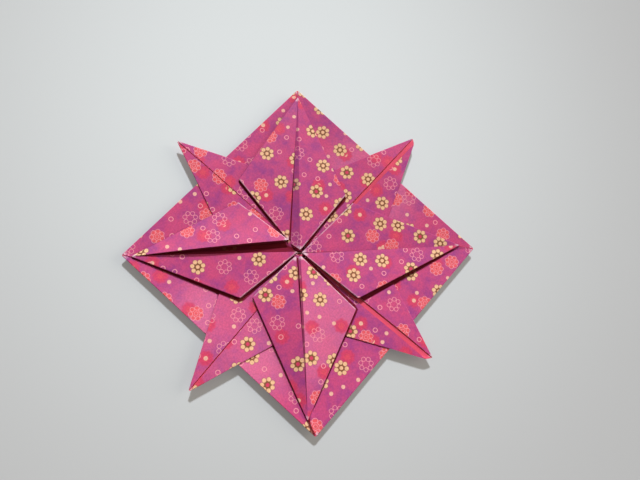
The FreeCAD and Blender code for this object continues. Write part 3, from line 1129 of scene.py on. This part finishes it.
def paper_body_tree(print_material, reverse_material, edge_material):
    """Welds the facets, cockles the sheet, and gives it thickness, two sides and an edge."""
    group = bpy.data.node_groups.new("paper_body", "GeometryNodeTree")
    sockets = [("Geometry", "INPUT", "NodeSocketGeometry")]
    for name in ("Thickness", "Cockle height", "Cockle size", "Seed"):
        sockets.append((name, "INPUT", "NodeSocketFloat"))
    sockets.append(("Geometry", "OUTPUT", "NodeSocketGeometry"))
    for name, direction, kind in sockets:
        group.interface.new_socket(name, in_out=direction, socket_type=kind)
    tree = Tree(group)
    given = tree.node("NodeGroupInput")
    thickness = tree.value(given, "Thickness")

    def welded(geometry, length):
        sockets = {"Geometry": geometry, "Distance": length}
        return tree.node("GeometryNodeMergeByDistance", sockets)

    def shifted(geometry, offset):
        return tree.node("GeometryNodeSetPosition", {"Geometry": geometry, "Offset": offset})

    def raised(geometry, height):
        return shifted(geometry, tree.node("ShaderNodeCombineXYZ", {"Z": height}))

    # The cockle depends on the plan place alone, so that stacked layers move together.
    position = tree.node("GeometryNodeInputPosition")
    sockets = {
        "Vector": tree.vector_math("MULTIPLY", {0: position, 1: (1.0, 1.0, 0.0)}),
        "W": given.outputs["Seed"],
        "Scale": 1.0 / tree.value(given, "Cockle size"),
        "Detail": 1.0,
    }
    waves = tree.value(tree.node("ShaderNodeTexNoise", sockets, noise_dimensions="4D"), "Fac")
    cockle = (waves - 0.5) * tree.value(given, "Cockle height")
    cockled = raised(welded(given, FACET_WELD), cockle)

    # The folded surface is the middle of the paper: each side lies half a thickness off it.
    normal = tree.node("GeometryNodeInputNormal")
    front = shifted(cockled, tree.vector_math("SCALE", {0: normal, "Scale": thickness * 0.5}))
    sockets = {"Mesh": front, "Offset Scale": thickness * -1.0, "Individual": False}
    extruded = tree.node("GeometryNodeExtrudeMesh", sockets, mode="FACES")
    joined = tree.node("GeometryNodeJoinGeometry")
    for side in (front, tree.node("GeometryNodeFlipFaces", {"Mesh": extruded})):
        tree.connect(joined.inputs[0], side)
    closed = welded(joined, SIDE_WELD)

    # The sheet lies on the surface with its lowest point.
    box = tree.node("GeometryNodeBoundBox", {"Geometry": closed})
    _, _, lowest = tree.parts(box.outputs["Min"])
    laid = raised(closed, lowest * -1.0)

    # Facets shade smoothly, and stay crisp where the paper bends.
    smooth = tree.node("GeometryNodeSetShadeSmooth", {"Geometry": laid}, domain="FACE")
    bends = tree.value(tree.node("GeometryNodeInputMeshEdgeAngle")) > CRISP_ANGLE
    sockets = {"Geometry": smooth, "Selection": bends, "Shade Smooth": False}
    crisp = tree.node("GeometryNodeSetShadeSmooth", sockets, domain="EDGE")

    dressed = tree.node("GeometryNodeRealizeInstances", {0: crisp})
    for sockets in (
        {"Material": print_material},
        {"Material": reverse_material, "Selection": extruded.outputs["Top"]},
        {"Material": edge_material, "Selection": extruded.outputs["Side"]},
    ):
        dressed = tree.node("GeometryNodeSetMaterial", {"Geometry": dressed, **sockets})
    tree.node("NodeGroupOutput", {0: dressed})
    return group


def apply_tree(piece, tree, inputs):
    """Runs a node tree on a piece and keeps the result as its plain mesh."""
    modifier = piece.modifiers.new(tree.name, "NODES")
    modifier.node_group = tree
    for item in tree.interface.items_tree:
        if item.name in inputs:
            modifier[item.identifier] = inputs[item.name]
    bpy.context.view_layer.update()
    evaluated = piece.evaluated_get(bpy.context.evaluated_depsgraph_get())
    mesh = bpy.data.meshes.new_from_object(evaluated)
    piece.modifiers.remove(modifier)
    piece.data = mesh


# --- The stage

FLOOR_HALF_SIDE = 3.0  # in metres
# Painted light on the floor: it is lightest at FLOOR_BRIGHT and deepens away from it.
FLOOR_BRIGHT = (-5.0, 45.0)  # where the floor is lightest, in millimetres
FLOOR_SPREAD = (95.0, 105.0)  # how far it takes to deepen, in millimetres
FLOOR_DEPTH = (0.69, 0.66, 0.655)  # what is left of each channel in its deepest part
GLOW_TINT = (0.97, 0.97, 1.06)  # of the floor's painted glow, which even its shadows keep
ROOM_COLOUR = (1.0, 0.90, 0.70, 1.0)

# A light: where it stands, its elevation, its width as seen from the object, its colour.
Light = namedtuple("Light", "name bearing elevation width colour")
WINDOW = Light("window", 6.0, 35.0, 5.0, (0.79, 0.845, 0.93))
SIDE_LIGHT = Light("side_light", 80.0, 18.0, 40.0, (1.0, 0.95, 0.88))

CAMERA_PLACE = (-22.4 * MM, -35.4 * MM, 150.6 * MM)
CAMERA_TILT = (math.radians(14.76), math.radians(-9.10), math.radians(-3.30))
CAMERA_LENS = 35.16
CAMERA_CLIP = 0.01
SENSOR_WIDTH = 36.0


def make_floor(settings):
    """A wide card with painted light: lightest at one place and deeper away from it; part of its
    colour glows for the camera.
    """
    half = FLOOR_HALF_SIDE
    corners = [(-half, -half, 0.0), (half, -half, 0.0), (half, half, 0.0), (-half, half, 0.0)]
    mesh = bpy.data.meshes.new("floor")
    mesh.from_pydata(corners, [], [(0, 1, 2, 3)])
    shader = Shader("floor_card", settings.floor)
    x, y, _ = shader.parts(shader.node("ShaderNodeTexCoord").outputs["Object"])
    across = (x / MM - FLOOR_BRIGHT[0]) / FLOOR_SPREAD[0]
    along = (y / MM - FLOOR_BRIGHT[1]) / FLOOR_SPREAD[1]
    deep = [channel * share for channel, share in zip(settings.floor, FLOOR_DEPTH)]
    shader.lay(hypotenuse(across, along).fade(0.1, 1.4), deep)
    # Painted light: this share of the colour glows for camera rays alone, so shadows on the floor
    # stay light.
    shares = [settings.glow * tint for tint in GLOW_TINT]
    glow = shader.scaled(shader.colour, shares)
    seen = shader.node("ShaderNodeLightPath").outputs["Is Camera Ray"]
    shader.set("Base Color", shader.scaled(shader.colour, [1.0 - share for share in shares]))
    shader.set("Emission Color", shader.mix(seen, (0.0, 0.0, 0.0), glow))
    shader.set("Emission Strength", 1.0)
    shader.set("Roughness", 0.8)
    shader.set("Specular IOR Level", 0.2)
    mesh.materials.append(shader.material)
    add_object("floor", mesh)


def make_light(light, brightness):
    """A distant light that gives a level white surface this share of full brightness."""
    elevation = math.radians(light.elevation)
    data = bpy.data.lights.new(light.name, "SUN")
    data.energy = brightness * math.pi / math.sin(elevation)
    data.angle = math.radians(light.width)
    data.color = light.colour
    lamp = add_object(light.name, data)
    lamp.rotation_mode = "YXZ"
    lamp.rotation_euler = (elevation - QUARTER, 0.0, -math.radians(light.bearing))


def make_lights(settings):
    """The window, the soft light from the side, and the light from all round."""
    make_light(WINDOW, settings.window)
    make_light(SIDE_LIGHT, settings.side)
    world = bpy.data.worlds.new("room")
    world.use_nodes = True
    background = world.node_tree.nodes["Background"]
    background.inputs["Color"].default_value = ROOM_COLOUR
    background.inputs["Strength"].default_value = settings.sky
    scene = bpy.context.scene
    scene.world = world
    scene.view_settings.view_transform = "Standard"


def make_camera():
    """A camera nearly above the star."""
    data = bpy.data.cameras.new("camera")
    data.lens = CAMERA_LENS
    data.sensor_width = SENSOR_WIDTH
    data.clip_start = CAMERA_CLIP
    camera = add_object("camera", data)
    camera.location = CAMERA_PLACE
    camera.rotation_euler = CAMERA_TILT
    bpy.context.scene.camera = camera


# --- Operators and panel


class ROSE_OT_folded_paper(bpy.types.Operator):
    """Folds the printed sheet into the compass rose"""

    bl_idname = "rose.folded_paper"
    bl_label = "Fold the paper"

    def execute(self, context):
        paper = context.scene.rose_paper
        settings = context.scene.rose_print
        piece = fold_sheet(paper)
        tree = paper_body_tree(printed_side(settings), reverse_side(settings), raw_edge(settings))
        inputs = {
            "Thickness": paper.thickness,
            "Cockle height": paper.cockle_height,
            "Cockle size": paper.cockle_size,
            "Seed": COCKLE_SEED,
        }
        apply_tree(piece, tree, inputs)
        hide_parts("folded_sheet")
        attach(piece, "root")
        return {"FINISHED"}


class ROSE_OT_stage(bpy.types.Operator):
    """Sets the floor, the lights and the camera"""

    bl_idname = "rose.stage"
    bl_label = "Set the stage"

    def execute(self, context):
        settings = context.scene.rose_stage
        make_floor(settings)
        make_lights(settings)
        make_camera()
        return {"FINISHED"}


class ROSE_PT_panel(bpy.types.Panel):
    """Lists the compass rose's settings and the steps that make it"""

    bl_idname = "ROSE_PT_panel"
    bl_label = "Compass Rose"
    bl_space_type = "VIEW_3D"
    bl_region_type = "UI"
    bl_category = "Compass Rose"

    def draw(self, context):
        for name, group in SETTINGS.items():
            box = self.layout.box()
            for setting in group.__annotations__:
                box.prop(getattr(context.scene, name), setting)
        for step in (ROSE_OT_folded_paper, ROSE_OT_stage):
            self.layout.operator(step.bl_idname)


CLASSES = (*SETTINGS.values(), ROSE_OT_folded_paper, ROSE_OT_stage, ROSE_PT_panel)


def register():
    for cls in CLASSES:
        bpy.utils.register_class(cls)
    for name, group in SETTINGS.items():
        setattr(bpy.types.Scene, name, bpy.props.PointerProperty(type=group))


def unregister():
    for name in SETTINGS:
        delattr(bpy.types.Scene, name)
    for cls in reversed(CLASSES):
        bpy.utils.unregister_class(cls)


def main():
    register()
    bpy.ops.rose.folded_paper()
    bpy.ops.rose.stage()


if __name__ == "__main__":
    main()
